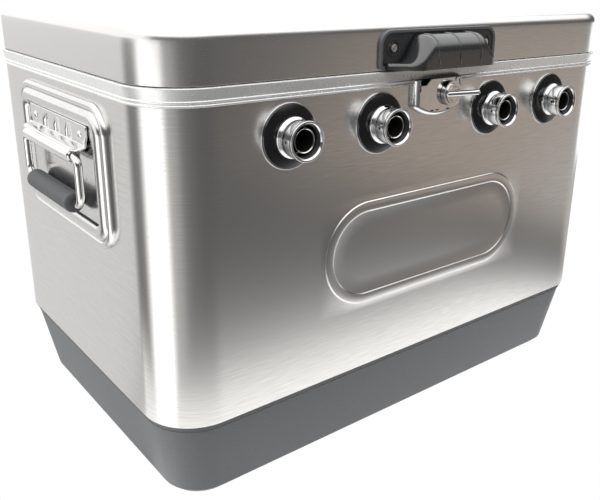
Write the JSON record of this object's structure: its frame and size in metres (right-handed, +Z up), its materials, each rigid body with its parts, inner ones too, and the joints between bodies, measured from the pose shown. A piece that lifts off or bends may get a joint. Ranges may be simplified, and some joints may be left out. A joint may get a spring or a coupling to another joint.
{
  "type": "jockey box beer cooler",
  "caption": "Steel-clad insulated cooler with tap shanks through its front, a cold plate inside, a hinged lid with pull and latch, side bail handles and a drain.",
  "frame": {"origin": "on the ground under the middle of the body", "axes": "+X to the right along the tap front, the front faces -Y, +Z up"},
  "size_m": [0.647, 0.4328, 0.431],
  "materials": {
    "brushed_steel": "fine horizontal brushed grain",
    "polished_steel": "polished",
    "chromed_brass": "bright plated",
    "black_plastic": "glossy moulded",
    "charcoal_plastic": "satin moulded",
    "grey_plastic": "fine-grained moulded",
    "white_plastic": "smooth moulded",
    "foam": "rigid foam",
    "grey_rubber": "ribbed rubber",
    "black_rubber": "moulded rubber",
    "gasket_vinyl": "soft vinyl",
    "line_plastic": "translucent tube",
    "cast_aluminium": "cast"
  },
  "bodies": {
    "cooler": {"base_pan": "grey_plastic", "outer_shell": "brushed_steel", "insulation_foam": "foam", "inner_liner": "white_plastic", "rim_trim": "polished_steel", "handle_dish_left": "polished_steel", "handle_dish_right": "polished_steel", "handle_bracket_left": "polished_steel", "handle_bracket_right": "polished_steel", "handle_rivets": "polished_steel", "tap_flange_1": "black_plastic", "tap_flange_2": "black_plastic", "tap_flange_3": "black_plastic", "tap_flange_4": "black_plastic", "flange_rings": "chromed_brass", "shank_1": "chromed_brass", "shank_2": "chromed_brass", "shank_3": "chromed_brass", "shank_4": "chromed_brass", "shank_seals": "black_rubber", "shank_locknuts": "chromed_brass", "tail_pieces": "chromed_brass", "tail_nuts": "chromed_brass", "beer_line_1": "line_plastic", "beer_line_2": "line_plastic", "beer_line_3": "line_plastic", "beer_line_4": "line_plastic", "cold_plate": "cast_aluminium", "plate_fittings": "chromed_brass", "supply_lines": "line_plastic", "inlet_bulkheads": "chromed_brass", "inlet_nuts": "chromed_brass", "inlet_seals": "black_rubber", "hinge_body_leaves": "polished_steel", "hinge_pins": "polished_steel", "hinge_body_screws": "polished_steel", "latch_housing": "polished_steel", "latch_rivets": "polished_steel", "drain_spout": "black_plastic", "drain_nut": "black_plastic"},
    "lid": {"hinge_lid_leaves": "polished_steel", "hinge_lid_screws": "polished_steel", "latch_strike": "polished_steel", "lid_shell": "brushed_steel", "lid_foam": "foam", "lid_liner": "white_plastic", "lid_gasket": "gasket_vinyl", "lid_pull": "charcoal_plastic", "lid_pull_screws": "polished_steel"},
    "left_bail": {"bail_left": "polished_steel", "grip_left": "grey_rubber"},
    "right_bail": {"bail_right": "polished_steel", "grip_right": "grey_rubber"},
    "nut_1": {"coupling_nut_1": "chromed_brass"},
    "nut_2": {"coupling_nut_2": "chromed_brass"},
    "nut_3": {"coupling_nut_3": "chromed_brass"},
    "nut_4": {"coupling_nut_4": "chromed_brass"},
    "latch": {"latch_lever": "polished_steel", "latch_cam": "polished_steel"},
    "drain_seal": {"drain_cap_seal": "grey_rubber"},
    "drain_cap": {"drain_cap": "black_plastic"}
  },
  "joints": [
    {"name": "lid_hinge", "type": "hinge", "parent": "cooler", "child": "lid", "pos_m": [0, 0.2026, 0.3865], "axis": [-1, 0, 0], "range_deg": [0, 105]},
    {"name": "left_bail_swing", "type": "hinge", "parent": "cooler", "child": "left_bail", "pos_m": [-0.314, -0.005, 0.314], "axis": [0, 1, 0], "range_deg": [0, 90]},
    {"name": "right_bail_swing", "type": "hinge", "parent": "cooler", "child": "right_bail", "pos_m": [0.314, -0.005, 0.314], "axis": [0, -1, 0], "range_deg": [0, 90]},
    {"name": "nut_1_turn", "type": "hinge", "parent": "cooler", "child": "nut_1", "pos_m": [-0.177, -0.216, 0.339], "axis": [0, -1, 0], "continuous": true},
    {"name": "nut_2_turn", "type": "hinge", "parent": "cooler", "child": "nut_2", "pos_m": [-0.074, -0.216, 0.339], "axis": [0, -1, 0], "continuous": true},
    {"name": "nut_3_turn", "type": "hinge", "parent": "cooler", "child": "nut_3", "pos_m": [0.082, -0.216, 0.339], "axis": [0, -1, 0], "continuous": true},
    {"name": "nut_4_turn", "type": "hinge", "parent": "cooler", "child": "nut_4", "pos_m": [0.185, -0.216, 0.339], "axis": [0, -1, 0], "continuous": true},
    {"name": "latch_turn", "type": "hinge", "parent": "cooler", "child": "latch", "pos_m": [0.0115, -0.203, 0.361], "axis": [0, 1, 0], "range_deg": [0, 90]},
    {"name": "drain_seal_slide", "type": "slide", "parent": "cooler", "child": "drain_seal", "axis": [1, 0, 0], "range_m": [0, 0.0092]},
    {"name": "drain_cap_turn", "type": "hinge", "parent": "drain_seal", "child": "drain_cap", "pos_m": [0.305, 0, 0.064], "axis": [1, 0, 0], "range_deg": [0, 1080]}
  ],
  "couplings": [
    {"joint": "drain_seal_slide", "follows": "drain_cap_turn", "m_per_rad": 0.00047746}
  ]
}
